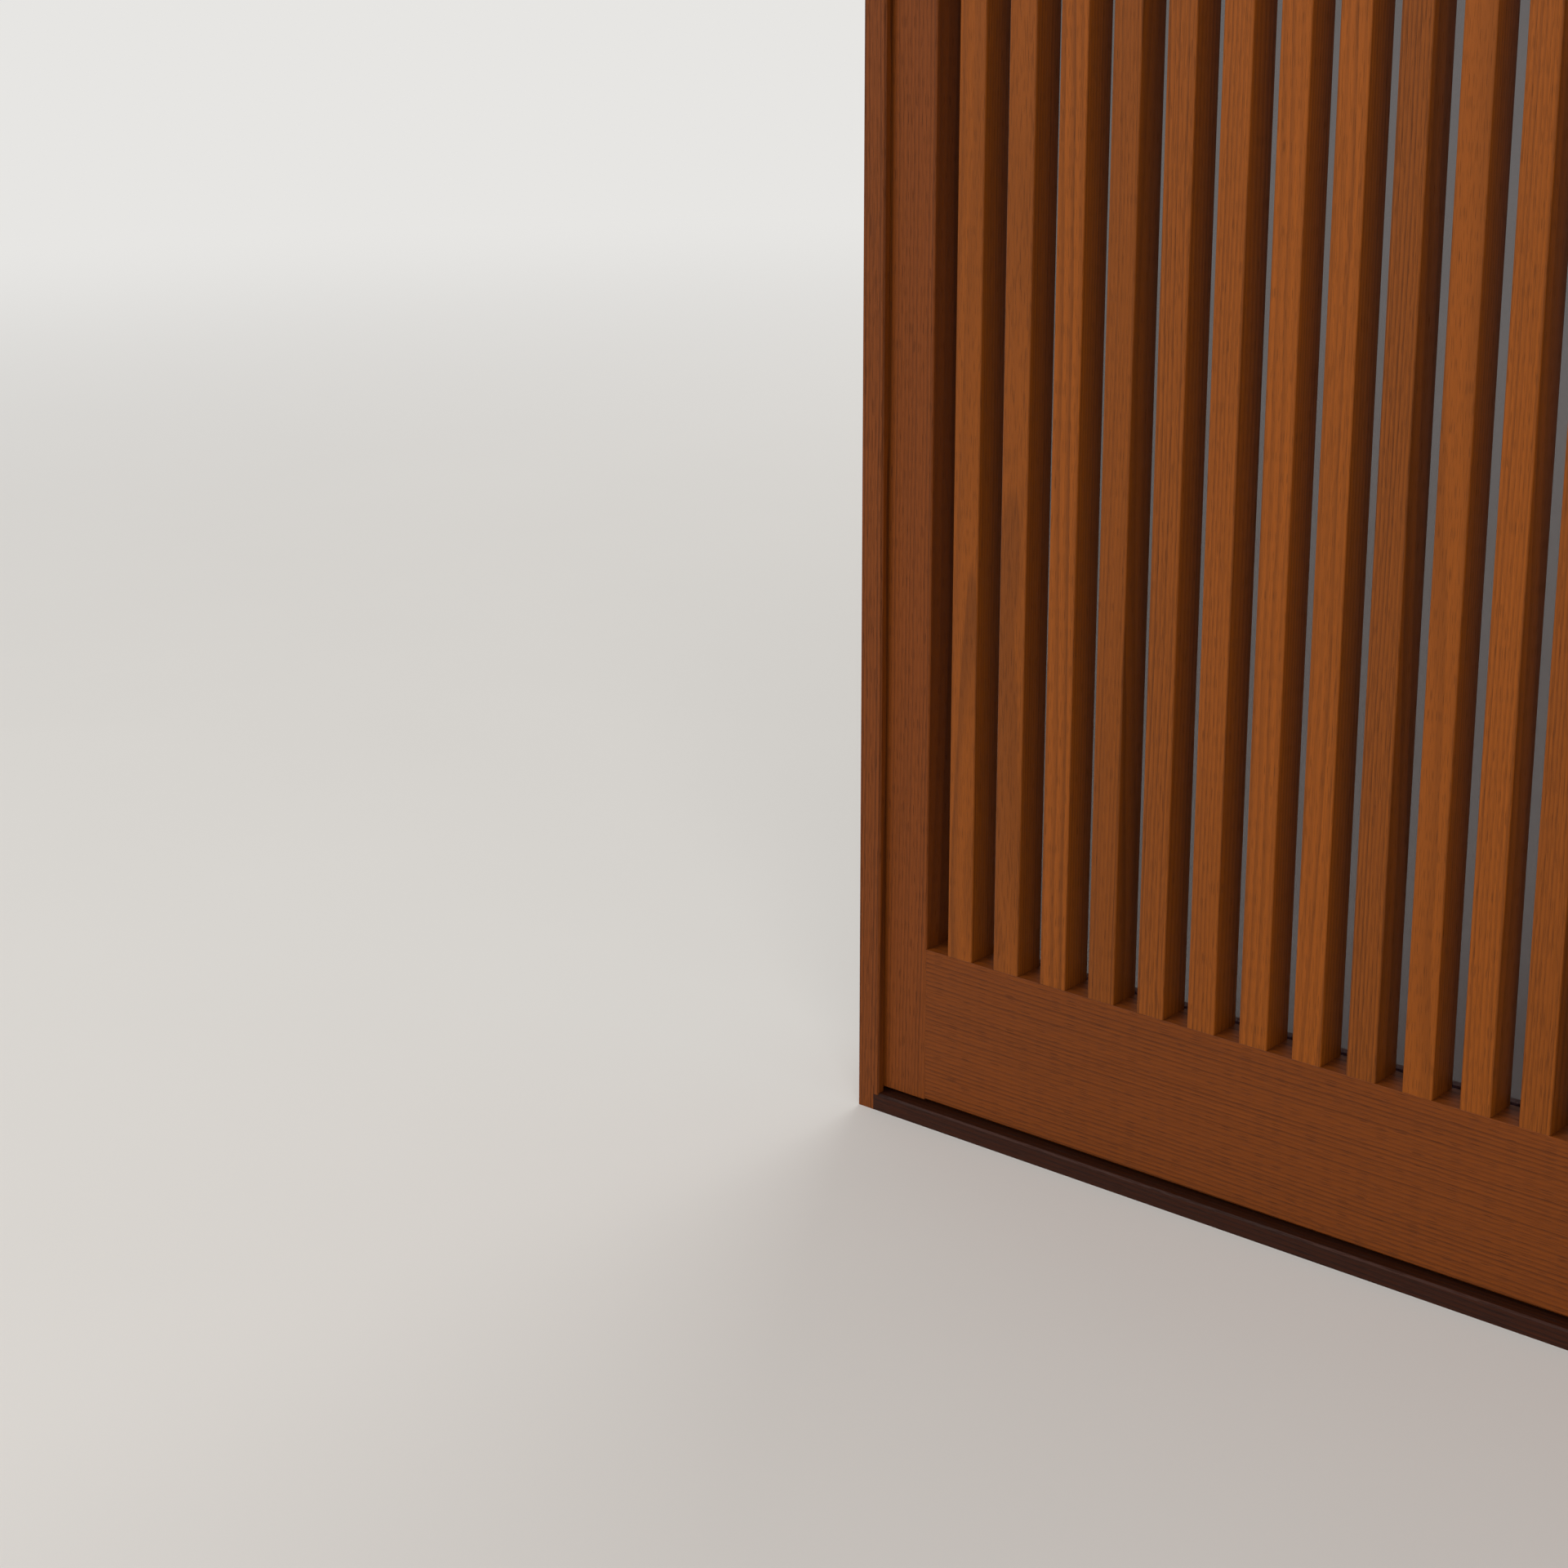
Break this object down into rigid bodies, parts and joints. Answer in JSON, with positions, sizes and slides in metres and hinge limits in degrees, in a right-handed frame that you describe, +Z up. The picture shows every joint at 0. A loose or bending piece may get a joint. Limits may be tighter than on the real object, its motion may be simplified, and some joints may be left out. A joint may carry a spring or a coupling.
{
  "type": "sliding lattice screen",
  "caption": "Pair of sliding screens with upright wooden slats over dark glass, running on flanged wheels in a wooden frame with head, jambs and threshold.",
  "frame": {"origin": "middle of the frame's footprint, on the floor", "axes": "+Z up along the jambs, +X to the right seen from the front, +Y towards the back; the front leaf is on the -X side"},
  "size_m": [1.564, 0.11, 2],
  "materials": {
    "frame_wood": "stained, satin",
    "leaf_wood": "stained, satin",
    "slat_wood": "stained, satin",
    "sill_wood": "dark stained, worn",
    "track_metal": "brushed, worn",
    "glass": "smoked",
    "sheet_steel": "zinc plated",
    "steel": "plated",
    "wheel_plastic": "nylon"
  },
  "bodies": {
    "frame": {"left_jamb": "frame_wood", "right_jamb": "frame_wood", "head": "frame_wood", "front_guide_strip": "frame_wood", "middle_guide_strip": "frame_wood", "rear_guide_strip": "frame_wood", "sill": "sill_wood", "front_track": "track_metal", "rear_track": "track_metal", "frame_screws": "steel"},
    "front_leaf": {"front_outer_stile": "leaf_wood", "front_meeting_stile": "leaf_wood", "front_bottom_rail": "leaf_wood", "front_top_rail": "leaf_wood", "front_slat_01": "slat_wood", "front_slat_02": "slat_wood", "front_slat_03": "slat_wood", "front_slat_04": "slat_wood", "front_slat_05": "slat_wood", "front_slat_06": "slat_wood", "front_slat_07": "slat_wood", "front_slat_08": "slat_wood", "front_slat_09": "slat_wood", "front_slat_10": "slat_wood", "front_slat_11": "slat_wood", "front_slat_12": "slat_wood", "front_slat_13": "slat_wood", "front_slat_14": "slat_wood", "front_slat_15": "slat_wood", "front_pane": "glass", "front_left_sheave_case": "sheet_steel", "front_right_sheave_case": "sheet_steel", "front_wheel_pins": "steel"},
    "front_left_wheel": {"front_left_wheel": "wheel_plastic"},
    "front_right_wheel": {"front_right_wheel": "wheel_plastic"},
    "rear_leaf": {"rear_outer_stile": "leaf_wood", "rear_meeting_stile": "leaf_wood", "rear_bottom_rail": "leaf_wood", "rear_top_rail": "leaf_wood", "rear_slat_01": "slat_wood", "rear_slat_02": "slat_wood", "rear_slat_03": "slat_wood", "rear_slat_04": "slat_wood", "rear_slat_05": "slat_wood", "rear_slat_06": "slat_wood", "rear_slat_07": "slat_wood", "rear_slat_08": "slat_wood", "rear_slat_09": "slat_wood", "rear_slat_10": "slat_wood", "rear_slat_11": "slat_wood", "rear_slat_12": "slat_wood", "rear_slat_13": "slat_wood", "rear_slat_14": "slat_wood", "rear_slat_15": "slat_wood", "rear_pane": "glass", "rear_left_sheave_case": "sheet_steel", "rear_right_sheave_case": "sheet_steel", "rear_wheel_pins": "steel"},
    "rear_left_wheel": {"rear_left_wheel": "wheel_plastic"},
    "rear_right_wheel": {"rear_right_wheel": "wheel_plastic"}
  },
  "joints": [
    {"name": "front_leaf_slide", "type": "slide", "parent": "frame", "child": "front_leaf", "axis": [1, 0, 0], "range_m": [0, 0.735]},
    {"name": "front_left_wheel_spin", "type": "hinge", "parent": "front_leaf", "child": "front_left_wheel", "pos_m": [-0.648, -0.026, 0.0303], "axis": [0, 1, 0], "range_deg": [-10, 3600]},
    {"name": "front_right_wheel_spin", "type": "hinge", "parent": "front_leaf", "child": "front_right_wheel", "pos_m": [-0.096, -0.026, 0.0303], "axis": [0, 1, 0], "range_deg": [-10, 3600]},
    {"name": "rear_leaf_slide", "type": "slide", "parent": "frame", "child": "rear_leaf", "axis": [-1, 0, 0], "range_m": [0, 0.735]},
    {"name": "rear_left_wheel_spin", "type": "hinge", "parent": "rear_leaf", "child": "rear_left_wheel", "pos_m": [0.096, 0.026, 0.0303], "axis": [0, 1, 0], "range_deg": [-3600, 10]},
    {"name": "rear_right_wheel_spin", "type": "hinge", "parent": "rear_leaf", "child": "rear_right_wheel", "pos_m": [0.648, 0.026, 0.0303], "axis": [0, 1, 0], "range_deg": [-3600, 10]}
  ],
  "couplings": [
    {"joint": "front_left_wheel_spin", "follows": "front_leaf_slide", "rad_per_m": 83.333},
    {"joint": "front_right_wheel_spin", "follows": "front_leaf_slide", "rad_per_m": 83.333},
    {"joint": "rear_left_wheel_spin", "follows": "rear_leaf_slide", "rad_per_m": -83.333},
    {"joint": "rear_right_wheel_spin", "follows": "rear_leaf_slide", "rad_per_m": -83.333}
  ]
}
